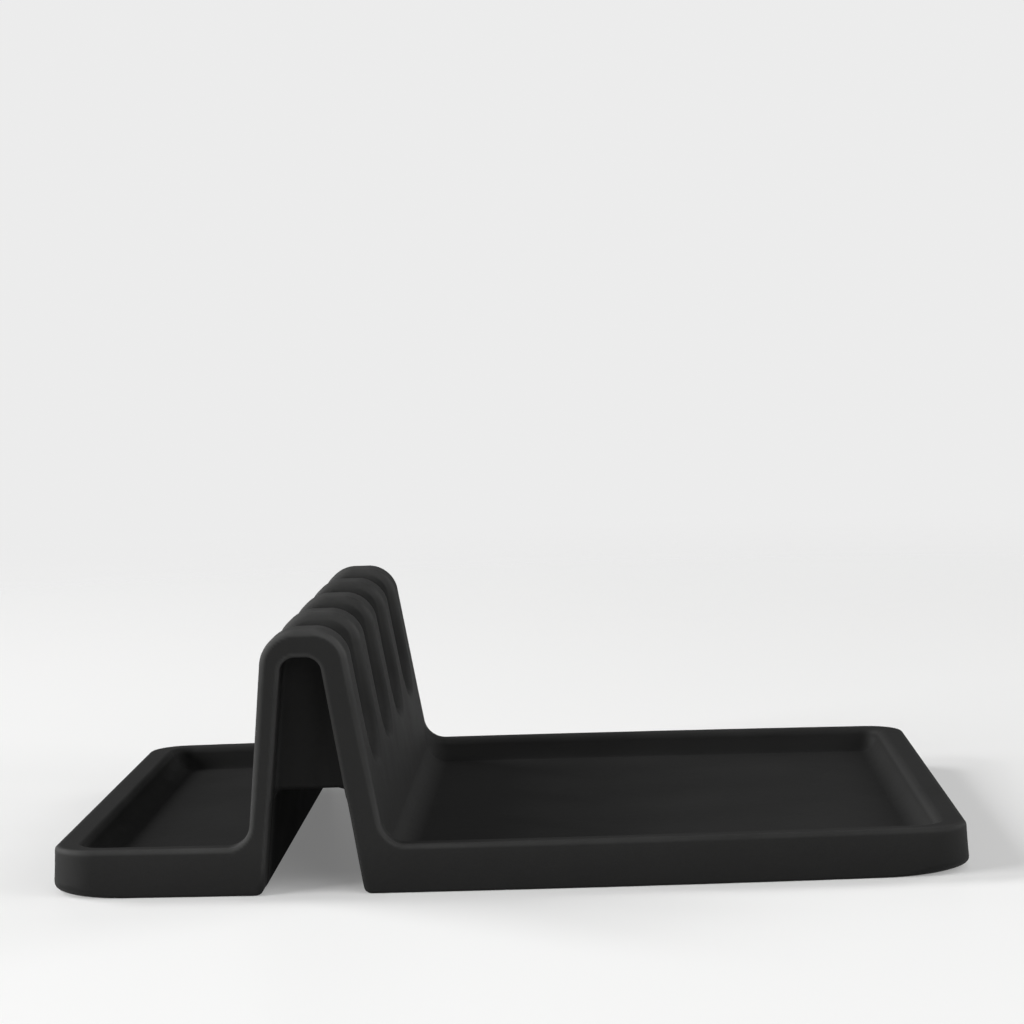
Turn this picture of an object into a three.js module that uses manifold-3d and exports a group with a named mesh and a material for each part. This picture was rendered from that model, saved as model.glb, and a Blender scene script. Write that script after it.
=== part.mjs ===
// Utensil rest: a soft silicone moulding with a small handle tray, a raised
// bridge with five dividers that leave four slots, and a large drip tray.
// Millimetres, +Z up. The origin is on the counter, under the middle of the
// footprint. X runs from the handle tray (-) to the drip tray (+), and Y runs
// across the four slots. The moulding is mirror symmetric about Y = 0.
import * as THREE from 'three';
import { mergeVertices } from 'three/addons/utils/BufferGeometryUtils.js';
import Module from 'manifold-3d';

// ---------------------------------------------------------------- dimensions
const LENGTH = 192.6;          // whole footprint along X
const DEPTH = 152;             // whole footprint along Y, at mid length
const BOW = 3;                 // how far the long edges fall back at the corners
const CORNER_R = 13;           // plan radius of the four outer corners
const CREST_H = 54.8;           // top of the dividers
const WALL_H = 10;             // top of the tray rim
const WALL_T = 5;              // thickness of the tray rim along the long edges
const END_T = 6.2;             // thickness of the tray rim at the two ends
const FLOOR_T = 4.8;           // thickness of the tray floor
const EDGE_R = 1.2;            // rounding of the rim's outer edges
const CAVITY_R = 4;            // plan radius of the inner tray corners
const CAVITY_FILLET = 2.6;     // rounding where the rim meets the tray floor

// Bridge legs, as lines X = x0 + k * Z.
const LEG_OUT_L = { x0: -54.4, k: 0.097 };
const LEG_OUT_R = { x0: -23.4, k: -0.166 };
const LEG_IN_L = { x0: -50.5, k: 0.107 };
const LEG_IN_R = { x0: -29.7, k: -0.156 };
const CREST_R_L = 7;           // rounding of the crest on the handle side
const CREST_R_R = 6;           // rounding of the crest on the drip side
const FOOT_FILLET = 4.5;       // concave fillet where a leg meets a tray
const FOOT_SINK = 0.25;         // how far that fillet runs in below the tray surface
const TUNNEL_H = 20.8;         // ceiling of the tunnel under the bridge
const TUNNEL_R = 2;            // rounding of the tunnel ceiling
const TUNNEL_STEP = 0.4;       // the tunnel is this much narrower than the recess
const RECESS_H = 49.1;         // top of the arched recess in each end face
const RECESS_R = 2.8;          // rounding of the recess top
const RECESS_DEPTH = 8.5;      // how far the recess reaches in from the full depth

// Dividers and slots across the bridge.
const DIVIDERS = 5;
const DIVIDER_W = 11.8;        // thickness of a divider along Y
const PITCH = (DEPTH - DIVIDER_W) / (DIVIDERS - 1);
const SLOT_W = PITCH - DIVIDER_W;
const SLOT_FLOOR = 25.2;       // lowest point of a slot
const SLOT_R = 9;              // rounding of the slot bottom

// Planes along which the moulding is divided into its named sections.
const CUT_HANDLE = -61;        // handle tray | bridge
const CUT_DRIP = -18;          // bridge | drip tray
const CUT_DIVIDER = 34.5;      // bridge | dividers, above the round slot bottoms

const SILICONE = 0x2b2b2a;
const ROUGHNESS = 0.6;

// ------------------------------------------------------------------- helpers
const wasm = await Module();
wasm.setup();

const onLine = (line, z) => line.x0 + line.k * z;

// A polygon with some corners rounded: each corner is [x, y] or [x, y, radius].
function rounded(corners, stepDeg = 15) {
  const out = [];
  const n = corners.length;
  for (let i = 0; i < n; i++) {
    const [x, y, r = 0] = corners[i];
    const p = new THREE.Vector2(x, y);
    if (r <= 0) { out.push(p); continue; }
    const a = new THREE.Vector2(...corners[(i + n - 1) % n]).sub(p).normalize();
    const b = new THREE.Vector2(...corners[(i + 1) % n]).sub(p).normalize();
    const half = Math.acos(THREE.MathUtils.clamp(a.dot(b), -1, 1)) / 2;
    const centre = a.clone().add(b).normalize().multiplyScalar(r / Math.sin(half)).add(p);
    const t1 = a.clone().multiplyScalar(r / Math.tan(half)).add(p);
    const t2 = b.clone().multiplyScalar(r / Math.tan(half)).add(p);
    const a1 = Math.atan2(t1.y - centre.y, t1.x - centre.x);
    let turn = Math.atan2(t2.y - centre.y, t2.x - centre.x) - a1;
    while (turn > Math.PI) turn -= 2 * Math.PI;
    while (turn < -Math.PI) turn += 2 * Math.PI;
    const steps = Math.max(2, Math.ceil(Math.abs(turn) * 180 / Math.PI / stepDeg));
    for (let s = 0; s <= steps; s++) {
      const t = a1 + turn * s / steps;
      out.push(new THREE.Vector2(centre.x + r * Math.cos(t), centre.y + r * Math.sin(t)));
    }
  }
  return out;
}

function solid(geometry) {
  const g = geometry.clone();
  g.deleteAttribute('normal');
  g.deleteAttribute('uv');
  const m = mergeVertices(g, 1e-4);
  return new wasm.Manifold(new wasm.Mesh({
    numProp: 3,
    vertProperties: new Float32Array(m.attributes.position.array),
    triVerts: new Uint32Array(m.index.array),
  }));
}

// Profile in XY, raised from z0 to z1, with an optional rounded edge.
function raiseXY(points, z0, z1, edge = 0) {
  const g = new THREE.ExtrudeGeometry(new THREE.Shape(points), {
    depth: z1 - z0 - 2 * edge, steps: 1, bevelEnabled: edge > 0,
    bevelThickness: edge, bevelSize: edge, bevelOffset: -edge, bevelSegments: 3,
  });
  g.translate(0, 0, z0 + edge);
  return solid(g);
}

// Profile in XZ, run along Y from y0 to y1.
function runXZ(points, y0, y1) {
  const g = new THREE.ExtrudeGeometry(new THREE.Shape(points), {
    depth: y1 - y0, steps: 1, bevelEnabled: false,
  });
  g.applyMatrix4(new THREE.Matrix4().set(1, 0, 0, 0, 0, 0, -1, y1, 0, 1, 0, 0, 0, 0, 0, 1));
  return solid(g);
}

// Profile in YZ, run along X from x0 to x1.
function runYZ(points, x0, x1) {
  const g = new THREE.ExtrudeGeometry(new THREE.Shape(points), {
    depth: x1 - x0, steps: 1, bevelEnabled: false,
  });
  g.applyMatrix4(new THREE.Matrix4().set(0, 0, 1, x0, 1, 0, 0, 0, 0, 1, 0, 0, 0, 0, 0, 1));
  return solid(g);
}

function block(x0, x1, y0, y1, z0, z1) {
  const g = new THREE.BoxGeometry(x1 - x0, y1 - y0, z1 - z0);
  g.translate((x0 + x1) / 2, (y0 + y1) / 2, (z0 + z1) / 2);
  return solid(g);
}

// ------------------------------------------------------------ plan and trays
// The plan outline: straight ends, gently bowed long edges, round corners.
function outline(inset, cornerR, insetX = inset) {
  const hx = LENGTH / 2 - insetX;
  const edge = (x) => DEPTH / 2 - inset - BOW * (x / (LENGTH / 2)) ** 2;
  const corners = [];
  const n = 8;
  const reach = hx - cornerR - 3;
  corners.push([-hx, -edge(hx), cornerR]);
  for (let i = 0; i <= n; i++) {
    const x = -reach + 2 * reach * i / n;
    corners.push([x, -edge(x)]);
  }
  corners.push([hx, -edge(hx), cornerR]);
  corners.push([hx, edge(hx), cornerR]);
  for (let i = n; i >= 0; i--) {
    const x = -reach + 2 * reach * i / n;
    corners.push([x, edge(x)]);
  }
  corners.push([-hx, edge(hx), cornerR]);
  return rounded(corners, 15);
}

const slab = raiseXY(outline(0, CORNER_R), 0, WALL_H, EDGE_R);
const cavity = raiseXY(outline(WALL_T, CAVITY_R, END_T), FLOOR_T, WALL_H + 20, CAVITY_FILLET);
const trays = slab.subtract(cavity);

// -------------------------------------------------------------------- bridge
// Outer profile of the bridge above a surface at height zf, with its feet
// filleted into that surface.
function bridgeProfile(zf) {
  const z = zf - FOOT_SINK;
  const footL = onLine(LEG_OUT_L, z);
  const footR = onLine(LEG_OUT_R, z);
  return rounded([
    [footL - FOOT_FILLET - 0.5, -2],
    [footL - FOOT_FILLET - 0.5, z],
    [footL, z, FOOT_FILLET],
    [onLine(LEG_OUT_L, CREST_H), CREST_H, CREST_R_L],
    [onLine(LEG_OUT_R, CREST_H), CREST_H, CREST_R_R],
    [footR, z, FOOT_FILLET],
    [footR + FOOT_FILLET + 0.5, z],
    [footR + FOOT_FILLET + 0.5, -2],
  ].reverse(), 15);
}

const half = DEPTH / 2;
let ridge = runXZ(bridgeProfile(FLOOR_T), -half - 2, half + 2);

// Fillets where the legs run into the rim at both ends. Each one starts inside
// its leg and sweeps out along the top of the rim.
function rimFillet(leg, side) {
  const z = WALL_H - FOOT_SINK;
  const up = z + 2 * FOOT_FILLET;
  const inX = (h) => onLine(leg, h) - side * FOOT_SINK;
  const corners = [
    [inX(z) + side * (FOOT_FILLET + 0.5), 2],
    [inX(z) + side * (FOOT_FILLET + 0.5), z],
    [inX(z), z, FOOT_FILLET],
    [inX(up), up],
    [inX(up) - side * 2.5, up],
    [inX(up) - side * 2.5, 2],
  ];
  return rounded(side > 0 ? corners : corners.reverse(), 15);
}
for (const [leg, side, inner] of [[LEG_OUT_L, -1, 5.9], [LEG_OUT_R, 1, 5.1]]) {
  ridge = ridge.add(runXZ(rimFillet(leg, side), -half - 2, -half + inner));
  ridge = ridge.add(runXZ(rimFillet(leg, side), half - inner, half + 2));
}

// Four slots with round bottoms.
for (let i = 0; i < DIVIDERS - 1; i++) {
  const y = -half + DIVIDER_W / 2 + PITCH * (i + 0.5);
  const slot = rounded([
    [y - SLOT_W / 2, SLOT_FLOOR, SLOT_R],
    [y + SLOT_W / 2, SLOT_FLOOR, SLOT_R],
    [y + SLOT_W / 2, CREST_H + 10],
    [y - SLOT_W / 2, CREST_H + 10],
  ], 18);
  ridge = ridge.subtract(runYZ(slot, -80, 0));
}

// The bridge ends follow the plan outline, flush with the rim, and its feet
// stand in the tray floor.
const column = raiseXY(outline(0, CORNER_R), FLOOR_T / 2, CREST_H + 5);
let moulding = trays.add(ridge.intersect(column));

// The tunnel under the bridge, and the arched recess in each end face.
const hollow = (top, r, step) => rounded([
  [onLine(LEG_IN_L, -2) + step, -2],
  [onLine(LEG_IN_R, -2) - step, -2],
  [onLine(LEG_IN_R, top) - step, top, r],
  [onLine(LEG_IN_L, top) + step, top, r],
], 22.5);
const recess = hollow(RECESS_H, RECESS_R, 0);
moulding = moulding
  .subtract(runXZ(hollow(TUNNEL_H, TUNNEL_R, TUNNEL_STEP), -half - 3, half + 3))
  .subtract(runXZ(recess, -half - 4, -half + RECESS_DEPTH))
  .subtract(runXZ(recess, half - RECESS_DEPTH, half + 4));

// ---------------------------------------------------------- named sections
const far = half + 5;
const top = CREST_H + 5;
const sections = {
  handle_tray: block(-LENGTH, CUT_HANDLE, -far, far, -1, top),
  drip_tray: block(CUT_DRIP, LENGTH, -far, far, -1, top),
  bridge: block(CUT_HANDLE, CUT_DRIP, -far, far, -1, CUT_DIVIDER),
};
for (let i = 0; i < DIVIDERS; i++) {
  const y = -half + DIVIDER_W / 2 + PITCH * i;
  sections[`divider_${i + 1}`] =
    block(CUT_HANDLE, CUT_DRIP, y - PITCH / 2, y + PITCH / 2, CUT_DIVIDER, top);
}

const object = new THREE.Group();
object.name = 'utensil_rest';
for (const [name, zone] of Object.entries(sections)) {
  const m = moulding.intersect(zone).getMesh();
  const g = new THREE.BufferGeometry();
  g.setAttribute('position', new THREE.BufferAttribute(new Float32Array(m.vertProperties), 3));
  g.setIndex(new THREE.BufferAttribute(new Uint32Array(m.triVerts), 1));
  g.computeVertexNormals();
  const mesh = new THREE.Mesh(g, new THREE.MeshStandardMaterial({
    color: SILICONE, roughness: ROUGHNESS, metalness: 0,
  }));
  mesh.name = name;
  object.add(mesh);
}

export default object;
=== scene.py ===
import math

import bmesh
import bpy
import numpy as np
from mathutils import Matrix, Vector


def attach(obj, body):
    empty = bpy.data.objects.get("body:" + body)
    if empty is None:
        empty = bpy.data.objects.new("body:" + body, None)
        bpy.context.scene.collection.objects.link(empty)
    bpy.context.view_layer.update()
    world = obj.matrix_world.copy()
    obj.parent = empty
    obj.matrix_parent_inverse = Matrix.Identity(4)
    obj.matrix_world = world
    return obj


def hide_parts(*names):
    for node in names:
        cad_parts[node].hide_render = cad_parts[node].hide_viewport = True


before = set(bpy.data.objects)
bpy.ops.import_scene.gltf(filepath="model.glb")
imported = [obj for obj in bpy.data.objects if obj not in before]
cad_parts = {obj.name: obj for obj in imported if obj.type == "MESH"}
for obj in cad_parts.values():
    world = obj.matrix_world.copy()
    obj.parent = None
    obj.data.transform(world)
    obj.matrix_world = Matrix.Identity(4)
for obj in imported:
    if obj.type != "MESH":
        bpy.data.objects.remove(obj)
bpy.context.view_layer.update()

# The utensil rest is one soft silicone moulding. Its skin is made here as a
# single smooth surface, from the same dimensions as the solids, with every
# edge rolled over and every inside corner filleted, and is then divided at
# the section planes into the eight named pieces. Millimetres until the mesh
# is written.
LENGTH, DEPTH, BOW = 192.1, 152.0, 3.0     # footprint; long edges fall back by BOW
CORNER_BASE_L, CORNER_BASE_R, CORNER_RIM = 16.5, 19.0, 9.6   # plan radius of the outer corners, on the counter and at the rim
CREST_H = 54.8                             # top of the dividers
WALL_H, FLOOR_T = 10.0, 4.8                # rim top, tray floor
DRAFT, DRAFT_RISE = 0.9, 7.0              # the outer wall leans in by this much, mostly below this height
RIM_IN, RIM_END, CAVITY_R, CAVITY_LEAN = 5.5, 6.9, 4.5, 0.14
FLOOR_FILLET, RIM_IN_R, RIM_OUT_R, ARCH_OUT_R = 4.0, 1.5, 1.0, 1.3
LEG_OUT_L, LEG_OUT_R = (-54.4, 0.097), (-23.4, -0.166)
LEG_IN_L, LEG_IN_R = (-50.5, 0.107), (-29.7, -0.156)
CREST_R_L, CREST_R_R, FOOT_R = 7.0, 6.0, 4.5
TUNNEL_H, TUNNEL_R = 20.8, 2.0
RECESS_H, RECESS_R, RECESS_Y = 49.1, 2.7, 67.5
DIVIDER_W = 11.8
PITCH = (DEPTH - DIVIDER_W) / 4
SLOT_W = PITCH - DIVIDER_W
SLOT_FLOOR, SLOT_R, SLOT_EDGE_R = 25.2, 9.0, 1.9
RECESS_EDGE_R, FOOT_EDGE_R, BASE_R = 0.8, 1.7, 0.8
CUT_HANDLE, CUT_DRIP, CUT_DIVIDER = -61.0, -18.0, 34.5


# ------------------------------------------------------------ signed distance
def round_max(a, b, r):
    """Intersection of two solids, with the convex edge rolled to radius r."""
    return np.minimum(np.maximum(a, b), -r) + np.sqrt(
        np.maximum(a + r, 0.0) ** 2 + np.maximum(b + r, 0.0) ** 2)


def round_min(a, b, r):
    """Union of two solids, with the inside corner filleted to radius r."""
    return -round_max(-a, -b, r)


def plan_box(x, v, hx, hv, r):
    qx, qv = np.abs(x) - (hx - r), v - (hv - r)
    return (np.minimum(np.maximum(qx, qv), 0.0)
            + np.sqrt(np.maximum(qx, 0.0) ** 2 + np.maximum(qv, 0.0) ** 2) - r)


def leg(x, z, line, side):
    """Distance from a sloping leg face; side is +1 where the solid lies at smaller x."""
    x0, k = line
    return side * (x - (x0 + k * z)) / math.sqrt(1.0 + k * k)


def moulding(x, y, z):
    """Signed distance to the moulding in millimetres, negative inside."""
    ay = np.abs(y)
    v = ay + BOW * (x / (LENGTH / 2)) ** 2
    zc = np.maximum(z, 0.0)
    low = np.clip(1.0 - z / 2.8, 0.0, 1.0) ** 2
    corner = CORNER_RIM + (np.where(x < 0, CORNER_BASE_L, CORNER_BASE_R) - CORNER_RIM) * low
    outline = plan_box(x, v, LENGTH / 2, DEPTH / 2, corner) \
        + DRAFT * (1.0 - np.exp(-zc / DRAFT_RISE))
    cavity = plan_box(x, v, LENGTH / 2 - RIM_END, DEPTH / 2 - RIM_IN, CAVITY_R) \
        + CAVITY_LEAN * (WALL_H - z)
    cavity = round_max(cavity, FLOOR_T - z, FLOOR_FILLET)
    trays = round_max(z - WALL_H, -cavity, RIM_IN_R)
    ridge = round_max(leg(x, z, LEG_OUT_L, -1), z - CREST_H, CREST_R_L)
    ridge = round_max(ridge, leg(x, z, LEG_OUT_R, 1), CREST_R_R)
    yc = np.where(ay < PITCH, PITCH * 0.5, PITCH * 1.5)
    slot = round_max(np.abs(ay - yc) - SLOT_W / 2, SLOT_FLOOR - z, SLOT_R)
    ridge = round_max(ridge, -slot, SLOT_EDGE_R)
    body = round_min(trays, ridge, FOOT_R)
    roll = RIM_OUT_R + (ARCH_OUT_R - RIM_OUT_R) * np.clip((z - 14.0) / 16.0, 0.0, 1.0)
    body = round_max(body, outline, roll)
    inner = np.maximum(leg(x, z, LEG_IN_L, -1), leg(x, z, LEG_IN_R, 1))
    tunnel = round_max(inner, z - TUNNEL_H, TUNNEL_R)
    recess = round_max(round_max(inner, z - RECESS_H, RECESS_R), RECESS_Y - ay, 0.8)
    body = round_max(body, -z, BASE_R)
    edge = RECESS_EDGE_R + (FOOT_EDGE_R - RECESS_EDGE_R) * np.clip(1.0 - z / 4.0, 0.0, 1.0)
    return round_max(body, -round_min(tunnel, recess, 0.5), edge)


def gradient(p, step=0.02):
    g = np.empty_like(p)
    for i in range(3):
        d = np.zeros(3)
        d[i] = step
        a, b = p + d, p - d
        g[:, i] = (moulding(a[:, 0], a[:, 1], a[:, 2])
                   - moulding(b[:, 0], b[:, 1], b[:, 2])) / (2 * step)
    return g


def mean_curvature(p, step=0.45):
    """Positive on rolled edges, negative in fillets, per millimetre."""
    c = moulding(p[:, 0], p[:, 1], p[:, 2])
    total = -6.0 * c
    for i in range(3):
        d = np.zeros(3)
        d[i] = step
        for q in (p + d, p - d):
            total += moulding(q[:, 0], q[:, 1], q[:, 2])
    return total / step ** 2


def edge_rub_and_highlight(p):
    """How far an edge is rubbed pale and lit by a painted highlight: most on the crest, not at the base, in the
    tunnel or in the recess.
    """
    x, y, z = p.T
    rub_and_highlight = np.clip((mean_curvature(p) - 0.15) / 0.9, 0, 1)
    # none at the base, and up to twice as strong towards the crest as a painted highlight
    rub_and_highlight *= np.clip((z - 2.0) / 3.0, 0, 1) * (1.0 + 1.0 * np.clip((z - 42.0) / 10.0, 0, 1))
    inside = np.maximum(leg(x, z, LEG_IN_L, -1), leg(x, z, LEG_IN_R, 1))
    rub_and_highlight[(inside < 1.0) & (np.abs(y) < 72.5) & (z < RECESS_H + 1.0)] = 0
    # painted highlight kept weaker at the recess mouth, most of all on its right side
    mouth = (inside < 2.0) & (np.abs(y) >= 72.5) & (z < RECESS_H + 2.0)
    rub_and_highlight *= np.where(mouth, 0.7 - 0.5 * np.clip((x - (LEG_IN_L[0] + LEG_IN_R[0]) / 2 + 5.0) / 10.0, 0, 1), 1.0)
    rub_and_highlight *= np.where((z > WALL_H + 4.0) & (np.abs(y) < 72.0), np.clip((z - 32.0) / 12.0, 0, 1), 1.0)
    # painted shade: paler edges damped low down on the drip tray side
    rub_and_highlight *= np.where(z < 20.0, 1.0 - 0.45 * np.clip((x + 20.0) / 30.0, 0, 1), 1.0)
    # painted highlight along the top of the crest
    return np.maximum(rub_and_highlight, np.clip((z - 51.0) / 3.0, 0, 1) * np.clip((74.3 - np.abs(y)) / 0.5, 0, 1))


def shelter(p):
    """How far a point lies inside the tunnel, 0 at its mouths and 1 within; it sets the painted shade and the
    lower gloss there.
    """
    x, y, z = p.T
    inside = np.maximum(leg(x, z, LEG_IN_L, -1), leg(x, z, LEG_IN_R, 1))
    return np.where((inside < 0.4) & (z < TUNNEL_H + 0.4), np.clip((75.0 - np.abs(y)) / 14.0, 0, 1), 0.0)


# ---------------------------------------------------------------- the surface
def lines(*runs):
    """Grid lines from (start, end, spacing) runs that follow on."""
    out = []
    for a, b, h in runs:
        n = max(1, int(round((b - a) / h)))
        out.append(np.linspace(a, b, n + 1)[:-1])
    out.append(np.array([runs[-1][1]]))
    return np.concatenate(out)


gx = lines((-97.3, -82, .55), (-82, -64, 1.2), (-64, -55.5, .6), (-55.5, -22, .36), (-22, -14, .6), (-14, 82, 2.0), (82, 97.3, .55))
half_y = lines((0, 3.2, 1.1), (3.2, 8.6, .6), (8.6, 15, .85), (15, 20, 1.2), (20, 25.6, .85),
               (25.6, 31.2, .6), (31.2, 37.2, 1.2), (37.2, 42.8, .6), (42.8, 48.5, .85),
               (48.5, 54, 1.2), (54, 60, .85), (60, 70, .5), (70, 77.3, .38))
gy = np.concatenate([-half_y[:0:-1], half_y])
gz = lines((-0.8, 12, .5), (12, 19, 1.0), (19, 27.4, .6), (27.4, 46, 1.0), (46, 56, .5))


def surface():
    """Vertices and outward quads of the moulding's surface, one vertex per grid cell that it crosses."""
    f = moulding(gx[:, None, None], gy[None, :, None], gz[None, None, :])
    f = np.broadcast_to(f, (len(gx), len(gy), len(gz))).copy()
    f[np.abs(f) < 1e-6] = 1e-6
    s = f < 0
    n = np.zeros(tuple(np.array(s.shape) - 1), np.int8)
    for a in (0, 1):
        for b in (0, 1):
            for c in (0, 1):
                n += s[a:a + n.shape[0], b:b + n.shape[1], c:c + n.shape[2]]
    cells = np.argwhere((n > 0) & (n < 8))
    index = np.full(n.shape, -1, np.int64)
    index[tuple(cells.T)] = np.arange(len(cells))
    total, count = np.zeros((len(cells), 3)), np.zeros(len(cells))
    grid = (gx, gy, gz)
    for axis in range(3):
        o1, o2 = [i for i in range(3) if i != axis]
        for a in (0, 1):
            for b in (0, 1):
                c0 = cells.copy()
                c0[:, o1] += a
                c0[:, o2] += b
                c1 = c0.copy()
                c1[:, axis] += 1
                f0, f1 = f[tuple(c0.T)], f[tuple(c1.T)]
                hit = (f0 < 0) != (f1 < 0)
                t = np.where(hit, f0 / np.where(hit, f0 - f1, 1.0), 0.0)
                p = np.stack([grid[i][c0[:, i]] for i in range(3)], 1)
                p[:, axis] += t * (grid[axis][c1[:, axis]] - grid[axis][c0[:, axis]])
                total += p * hit[:, None]
                count += hit
    verts = total / count[:, None]
    quads = []
    for axis in range(3):
        o1, o2 = (axis + 1) % 3, (axis + 2) % 3
        lo = [slice(None)] * 3
        hi = [slice(None)] * 3
        lo[axis], hi[axis] = slice(0, -1), slice(1, None)
        s0, s1 = s[tuple(lo)], s[tuple(hi)]
        e = np.argwhere(s0 != s1)
        e = e[(e[:, o1] > 0) & (e[:, o2] > 0) & (e[:, o1] < n.shape[o1]) & (e[:, o2] < n.shape[o2])]
        ring = []
        for da, db in ((-1, -1), (0, -1), (0, 0), (-1, 0)):
            c = e.copy()
            c[:, o1] += da
            c[:, o2] += db
            ring.append(index[tuple(c.T)])
        q = np.stack(ring, 1)
        out = s0[tuple(e.T)]
        q[~out] = q[~out][:, ::-1]
        quads.append(q)
    return verts, np.concatenate(quads)


def settle(p, rounds=5):
    """Moves points onto the surface along its normal."""
    for _ in range(rounds):
        g = gradient(p)
        d = moulding(p[:, 0], p[:, 1], p[:, 2]) / np.maximum((g * g).sum(1), 0.2)
        p = p - np.clip(d, -0.4, 0.4)[:, None] * g
    return p


verts, quads = surface()
verts = settle(verts)

# ------------------------------------------------------------- divide it up
whole = bmesh.new()
made = [whole.verts.new(p) for p in verts * 0.001]
for q in quads:
    whole.faces.new([made[i] for i in q])
for co, no in (((CUT_HANDLE, 0, 0), (1, 0, 0)), ((CUT_DRIP, 0, 0), (1, 0, 0)), ((0, 0, CUT_DIVIDER), (0, 0, 1))):
    bmesh.ops.bisect_plane(whole, geom=whole.verts[:] + whole.edges[:] + whole.faces[:], dist=2e-5,
                           plane_co=Vector(co) * 0.001, plane_no=Vector(no), use_snap_center=True)


def section_of(face):
    c = face.calc_center_median() * 1000
    if c.x < CUT_HANDLE:
        return "handle_tray"
    if c.x > CUT_DRIP:
        return "drip_tray"
    if c.z < CUT_DIVIDER:
        return "bridge"
    return "divider_%d" % (int(round(c.y / PITCH)) + 3)


groups = {}
for face in whole.faces:
    groups.setdefault(section_of(face), []).append(face)

# ------------------------------------------------------------------ materials


def node(tree, kind, place, **settings):
    n = tree.nodes.new(kind)
    n.location = place
    for k, value in settings.items():
        setattr(n, k, value)
    return n


def silicone_material():
    """Matte charcoal moulded silicone: fine mould grain, faint cloudy patches, edges rubbed a little paler and
    lit by a painted highlight, painted shade low down and in the tunnel.
    """
    m = bpy.data.materials.new("silicone_charcoal")
    m.use_nodes = True
    t = m.node_tree
    t.nodes.clear()
    out = node(t, "ShaderNodeOutputMaterial", (900, 0))
    b = node(t, "ShaderNodeBsdfPrincipled", (600, 0))
    t.links.new(b.outputs["BSDF"], out.inputs["Surface"])
    b.inputs["IOR"].default_value = 1.41
    place = node(t, "ShaderNodeTexCoord", (-1300, 0))

    cloud = node(t, "ShaderNodeTexNoise", (-1000, 200))
    cloud.inputs["Scale"].default_value = 38
    cloud.inputs["Detail"].default_value = 4
    cloud.inputs["Roughness"].default_value = 0.6
    t.links.new(place.outputs["Object"], cloud.inputs["Vector"])

    grain = node(t, "ShaderNodeTexNoise", (-1000, -150))
    grain.inputs["Scale"].default_value = 2600
    grain.inputs["Detail"].default_value = 2
    grain.inputs["Roughness"].default_value = 0.55
    t.links.new(place.outputs["Object"], grain.inputs["Vector"])

    ripple = node(t, "ShaderNodeTexNoise", (-1000, -500))
    ripple.inputs["Scale"].default_value = 160
    ripple.inputs["Detail"].default_value = 2
    t.links.new(place.outputs["Object"], ripple.inputs["Vector"])

    tone = node(t, "ShaderNodeValToRGB", (-700, 200))
    tone.color_ramp.elements[0].position = 0.3
    tone.color_ramp.elements[0].color = (0.0104, 0.0104, 0.0102, 1)
    tone.color_ramp.elements[1].position = 0.72
    tone.color_ramp.elements[1].color = (0.0132, 0.0132, 0.0129, 1)
    t.links.new(cloud.outputs["Fac"], tone.inputs["Fac"])

    # edges mixed towards a paler grey: rubbed wear together with a painted highlight
    edge = node(t, "ShaderNodeAttribute", (-1000, 520), attribute_name="edge_rub_and_highlight")
    rubbed_and_lit = node(t, "ShaderNodeMath", (-700, 520), operation="MULTIPLY")
    t.links.new(edge.outputs["Fac"], rubbed_and_lit.inputs[0])
    t.links.new(cloud.outputs["Fac"], rubbed_and_lit.inputs[1])
    mix = node(t, "ShaderNodeMix", (-300, 300), data_type="RGBA")
    mix.inputs["B"].default_value = (0.043, 0.043, 0.0422, 1)
    t.links.new(rubbed_and_lit.outputs["Value"], mix.inputs["Factor"])
    t.links.new(tone.outputs["Color"], mix.inputs["A"])

    # painted shade, darker towards the counter
    axes = node(t, "ShaderNodeSeparateXYZ", (-1000, 800))
    t.links.new(place.outputs["Object"], axes.inputs["Vector"])
    low = node(t, "ShaderNodeMapRange", (-700, 800))
    low.inputs["From Min"].default_value = 0.0005
    low.inputs["From Max"].default_value = 0.0100
    low.inputs["To Min"].default_value = 0.66
    low.inputs["To Max"].default_value = 1.0
    t.links.new(axes.outputs["Z"], low.inputs["Value"])
    # and painted shade inside the tunnel, where its gloss is lowered too
    within = node(t, "ShaderNodeAttribute", (-1000, 1100), attribute_name="shelter")
    tunnel_shade = node(t, "ShaderNodeMapRange", (-700, 1100))
    tunnel_shade.inputs["To Min"].default_value = 1.0
    tunnel_shade.inputs["To Max"].default_value = 0.38
    t.links.new(within.outputs["Fac"], tunnel_shade.inputs["Value"])
    gloss = node(t, "ShaderNodeMapRange", (-400, 1300))
    gloss.inputs["To Min"].default_value = 0.14
    gloss.inputs["To Max"].default_value = 0.02
    t.links.new(within.outputs["Fac"], gloss.inputs["Value"])
    t.links.new(gloss.outputs["Result"], b.inputs["Specular IOR Level"])
    painted_shade = node(t, "ShaderNodeMath", (-400, 950), operation="MULTIPLY")
    t.links.new(low.outputs["Result"], painted_shade.inputs[0])
    t.links.new(tunnel_shade.outputs["Result"], painted_shade.inputs[1])
    shade = node(t, "ShaderNodeMix", (0, 300), data_type="RGBA", blend_type="MULTIPLY")
    shade.inputs["Factor"].default_value = 1.0
    t.links.new(mix.outputs["Result"], shade.inputs["A"])
    t.links.new(painted_shade.outputs["Value"], shade.inputs["B"])
    t.links.new(shade.outputs["Result"], b.inputs["Base Color"])

    rough = node(t, "ShaderNodeMapRange", (-300, 0))
    rough.inputs["From Min"].default_value = 0.3
    rough.inputs["From Max"].default_value = 0.7
    rough.inputs["To Min"].default_value = 0.66
    rough.inputs["To Max"].default_value = 0.78
    t.links.new(cloud.outputs["Fac"], rough.inputs["Value"])
    t.links.new(rough.outputs["Result"], b.inputs["Roughness"])

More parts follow.
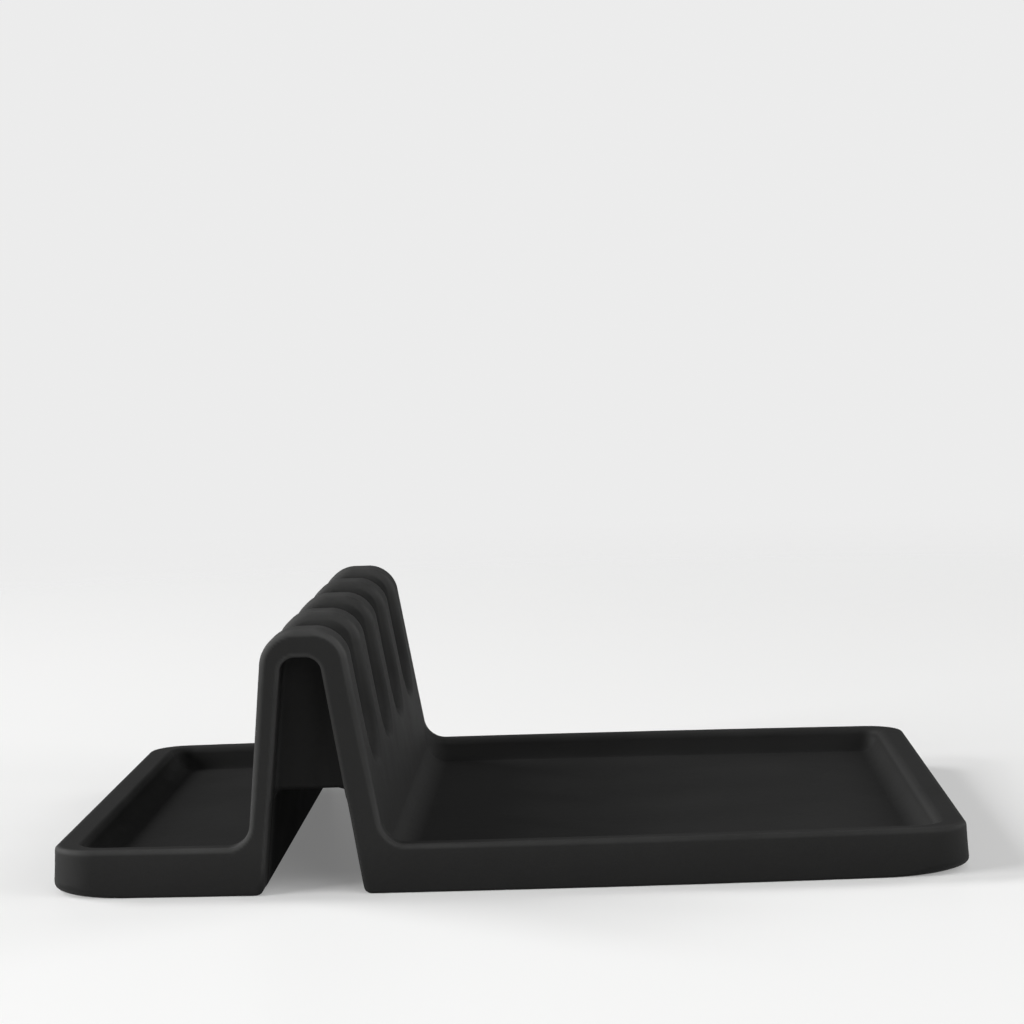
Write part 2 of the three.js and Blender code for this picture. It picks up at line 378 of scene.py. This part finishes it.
    b1 = node(t, "ShaderNodeBump", (0, -250))
    b1.inputs["Strength"].default_value = 0.12
    b1.inputs["Distance"].default_value = 0.0002
    t.links.new(grain.outputs["Fac"], b1.inputs["Height"])
    b2 = node(t, "ShaderNodeBump", (250, -300))
    b2.inputs["Strength"].default_value = 0.08
    b2.inputs["Distance"].default_value = 0.0006
    t.links.new(ripple.outputs["Fac"], b2.inputs["Height"])
    t.links.new(b1.outputs["Normal"], b2.inputs["Normal"])
    t.links.new(b2.outputs["Normal"], b.inputs["Normal"])
    return m


SILICONE = silicone_material()


def make_piece(name, faces):
    """One closed piece of the skin: its share of the surface, and a flat face on each section plane."""
    bm = bmesh.new()
    cap = bm.faces.layers.int.new("cap")
    at = {}
    for f in faces:
        ring = []
        for v in f.verts:
            if v not in at:
                at[v] = bm.verts.new(v.co)
            ring.append(at[v])
        bm.faces.new(ring)
    bm.normal_update()
    before = set(bm.faces)
    rims = {}
    for e in bm.edges:
        if e.is_boundary:
            m = (e.verts[0].co + e.verts[1].co) * 500
            key = min(("handle", abs(m.x - CUT_HANDLE)), ("drip", abs(m.x - CUT_DRIP)),
                      ("divider", abs(m.z - CUT_DIVIDER)), key=lambda k: k[1])[0]
            rims.setdefault(key, []).append(e)
    for key in sorted(rims):
        bmesh.ops.triangle_fill(bm, use_beauty=True, use_dissolve=False, edges=rims[key])
    for f in bm.faces:
        if f not in before:
            f[cap] = 1
    bmesh.ops.recalc_face_normals(bm, faces=bm.faces[:])
    open_edges = sum(1 for e in bm.edges if not e.is_manifold)
    mesh = bpy.data.meshes.new(name)
    bm.to_mesh(mesh)
    bm.free()
    co = np.empty(len(mesh.vertices) * 3, np.float64)
    mesh.vertices.foreach_get("co", co)
    p = co.reshape(-1, 3) * 1000
    g = gradient(p)
    g /= np.maximum(np.linalg.norm(g, axis=1), 1e-9)[:, None]
    rub_and_highlight = edge_rub_and_highlight(p)
    mesh.attributes.new("edge_rub_and_highlight", "FLOAT", "POINT").data.foreach_set("value", rub_and_highlight.astype(np.float32))
    mesh.attributes.new("shelter", "FLOAT", "POINT").data.foreach_set("value", shelter(p).astype(np.float32))
    is_cap = np.zeros(len(mesh.polygons), np.int32)
    mesh.attributes["cap"].data.foreach_get("value", is_cap)
    flat = np.empty(len(mesh.polygons) * 3, np.float32)
    mesh.polygons.foreach_get("normal", flat)
    flat = flat.reshape(-1, 3)
    sizes = np.empty(len(mesh.polygons), np.int32)
    mesh.polygons.foreach_get("loop_total", sizes)
    owner = np.repeat(np.arange(len(sizes)), sizes)
    corner = np.empty(len(mesh.loops), np.int32)
    mesh.loops.foreach_get("vertex_index", corner)
    normals = g[corner]
    capped = is_cap[owner] > 0
    normals[capped] = flat[owner[capped]]
    mesh.polygons.foreach_set("use_smooth", np.ones(len(mesh.polygons), bool))
    mesh.normals_split_custom_set(normals.astype(np.float32).tolist())
    mesh.attributes.remove(mesh.attributes["cap"])
    mesh.materials.append(SILICONE)
    mesh.update()
    piece = bpy.data.objects.new(name, mesh)
    bpy.context.scene.collection.objects.link(piece)
    print("piece", name, len(mesh.vertices), "verts", len(mesh.polygons), "faces", open_edges, "open edges")
    return piece


for name in sorted(groups):
    piece = make_piece(name + "_skin", groups[name])
    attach(piece, "root")
    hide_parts(name)
whole.free()

# ---------------------------------------------------------------------- stage
FLOOR_R = 3.0


def floor_material():
    m = bpy.data.materials.new("floor_pale")
    m.use_nodes = True
    t = m.node_tree
    t.nodes.clear()
    out = node(t, "ShaderNodeOutputMaterial", (700, 0))
    b = node(t, "ShaderNodeBsdfPrincipled", (200, 0))
    b.inputs["Base Color"].default_value = (0.57, 0.57, 0.567, 1)
    b.inputs["Emission Color"].default_value = (1.0, 1.0, 0.995, 1)
    b.inputs["Roughness"].default_value = 0.32
    b.inputs["Specular IOR Level"].default_value = 0.15
    place = node(t, "ShaderNodeTexCoord", (-900, 200))
    # The counter glows a little as painted light, and the pale glow is weaker under the bridge as painted shade.
    axes = node(t, "ShaderNodeSeparateXYZ", (-700, -300))
    t.links.new(place.outputs["Object"], axes.inputs["Vector"])
    off = node(t, "ShaderNodeMath", (-500, -300), operation="SUBTRACT")
    off.inputs[1].default_value = (LEG_IN_L[0] + LEG_IN_R[0]) / 2000
    t.links.new(axes.outputs["X"], off.inputs[0])
    away = node(t, "ShaderNodeMath", (-330, -300), operation="ABSOLUTE")
    t.links.new(off.outputs["Value"], away.inputs[0])
    beyond = node(t, "ShaderNodeMath", (-500, -500), operation="ABSOLUTE")
    t.links.new(axes.outputs["Y"], beyond.inputs[0])
    out_x = node(t, "ShaderNodeMapRange", (-160, -300))
    out_x.inputs["From Min"].default_value = 0.0115
    out_x.inputs["From Max"].default_value = 0.0155
    t.links.new(away.outputs["Value"], out_x.inputs["Value"])
    out_y = node(t, "ShaderNodeMapRange", (-160, -550))
    out_y.inputs["From Min"].default_value = 0.050
    out_y.inputs["From Max"].default_value = 0.085
    t.links.new(beyond.outputs["Value"], out_y.inputs["Value"])
    outside = node(t, "ShaderNodeMath", (0, -400), operation="MAXIMUM")
    t.links.new(out_x.outputs["Result"], outside.inputs[0])
    t.links.new(out_y.outputs["Result"], outside.inputs[1])
    glow = node(t, "ShaderNodeMapRange", (50, -600))
    glow.inputs["To Min"].default_value = 0.17
    glow.inputs["To Max"].default_value = 0.245
    t.links.new(outside.outputs["Value"], glow.inputs["Value"])
    t.links.new(glow.outputs["Result"], b.inputs["Emission Strength"])
    # The floor fades out far away, so that it meets the background without a line.
    clear = node(t, "ShaderNodeBsdfTransparent", (200, -350))
    reach = node(t, "ShaderNodeVectorMath", (-700, 200), operation="LENGTH")
    t.links.new(place.outputs["Object"], reach.inputs[0])
    fade = node(t, "ShaderNodeMapRange", (-450, 200), interpolation_type="SMOOTHSTEP")
    fade.inputs["From Min"].default_value = 0.26
    fade.inputs["From Max"].default_value = 0.95
    t.links.new(reach.outputs["Value"], fade.inputs["Value"])
    # It has one side only, so that the underside of the rest can be seen from below.
    side = node(t, "ShaderNodeNewGeometry", (-450, 450))
    gone = node(t, "ShaderNodeMath", (-200, 300), operation="MAXIMUM")
    t.links.new(fade.outputs["Result"], gone.inputs[0])
    t.links.new(side.outputs["Backfacing"], gone.inputs[1])
    mix = node(t, "ShaderNodeMixShader", (450, 0))
    t.links.new(gone.outputs["Value"], mix.inputs["Fac"])
    t.links.new(b.outputs["BSDF"], mix.inputs[1])
    t.links.new(clear.outputs["BSDF"], mix.inputs[2])
    t.links.new(mix.outputs["Shader"], out.inputs["Surface"])
    return m


floor_mesh = bpy.data.meshes.new("floor")
bm = bmesh.new()
bmesh.ops.create_circle(bm, cap_ends=True, radius=FLOOR_R, segments=96)
bm.to_mesh(floor_mesh)
bm.free()
floor_mesh.materials.append(floor_material())
floor = bpy.data.objects.new("floor", floor_mesh)
floor.location = (0, 0, -0.00002)
bpy.context.scene.collection.objects.link(floor)

# ---------------------------------------------------------------------- light
ROOM, BACKDROP = 0.125, 0.84
world = bpy.data.worlds.new("studio")
world.use_nodes = True
wt = world.node_tree
wt.nodes.clear()
w_out = node(wt, "ShaderNodeOutputWorld", (500, 0))
w_mix = node(wt, "ShaderNodeMixShader", (300, 0))
room = node(wt, "ShaderNodeBackground", (0, 0))
room.inputs["Color"].default_value = (1.0, 1.0, 1.0, 1)
room.inputs["Strength"].default_value = ROOM
backdrop = node(wt, "ShaderNodeBackground", (0, -200))
backdrop.inputs["Color"].default_value = (1.0, 1.0, 1.0, 1)
backdrop.inputs["Strength"].default_value = BACKDROP
seen = node(wt, "ShaderNodeLightPath", (0, 300))
wt.links.new(seen.outputs["Is Camera Ray"], w_mix.inputs["Fac"])
wt.links.new(room.outputs["Background"], w_mix.inputs[1])
wt.links.new(backdrop.outputs["Background"], w_mix.inputs[2])
wt.links.new(w_mix.outputs["Shader"], w_out.inputs["Surface"])
bpy.context.scene.world = world


def softbox(name, place, target, size, watts):
    d = bpy.data.lights.new(name, "AREA")
    d.shape = "RECTANGLE"
    d.size, d.size_y = size
    d.energy = watts
    o = bpy.data.objects.new(name, d)
    o.location = place
    o.rotation_euler = (Vector(target) - Vector(place)).to_track_quat("-Z", "Y").to_euler()
    o.visible_camera = False
    bpy.context.scene.collection.objects.link(o)


softbox("left", (-2.10, -0.90, 0.64), (0, 0, 0.02), (1.2, 0.8), 66.5)
softbox("left_low", (-2.16, 0.00, 0.72), (0, 0, 0.02), (1.0, 0.4), 13.0)
softbox("left_back", (-1.76, 0.90, 1.18), (0, 0, 0.02), (1.0, 0.5), 41.6)
softbox("right", (2.10, -0.90, 0.70), (0, 0, 0.02), (1.2, 1.0), 31.1)
softbox("right_back", (1.80, 1.10, 1.10), (0, 0, 0.02), (1.2, 1.0), 19.8)
softbox("front", (1.20, -2.00, 0.90), (0, 0, 0.02), (1.2, 1.2), 12.6)
softbox("top", (0.25, -0.70, 2.20), (0, 0, 0.02), (1.0, 1.0), 6.0)

# --------------------------------------------------------------------- camera
YAW, PITCH_DOWN, ROLL = -0.033112, 0.070021, -0.033591
FOCAL_PX = 2898.746
fw = Vector((math.sin(YAW) * math.cos(PITCH_DOWN), math.cos(YAW) * math.cos(PITCH_DOWN), -math.sin(PITCH_DOWN)))
rt = Vector((math.cos(YAW), -math.sin(YAW), 0))
up = rt.cross(fw)
right = rt * math.cos(ROLL) + up * math.sin(ROLL)
above = up * math.cos(ROLL) - rt * math.sin(ROLL)
lens = bpy.data.cameras.new("camera")
lens.sensor_fit = "HORIZONTAL"
lens.sensor_width = 36
lens.lens = FOCAL_PX / 1024 * 36
lens.clip_start, lens.clip_end = 0.02, 50
camera = bpy.data.objects.new("camera", lens)
camera.matrix_world = Matrix((
    (right.x, above.x, -fw.x, 0.022879),
    (right.y, above.y, -fw.y, -0.663427),
    (right.z, above.z, -fw.z, 0.119035),
    (0, 0, 0, 1)))
bpy.context.scene.collection.objects.link(camera)
bpy.context.scene.camera = camera
bpy.context.scene.view_settings.view_transform = "Standard"

bpy.context.view_layer.update()
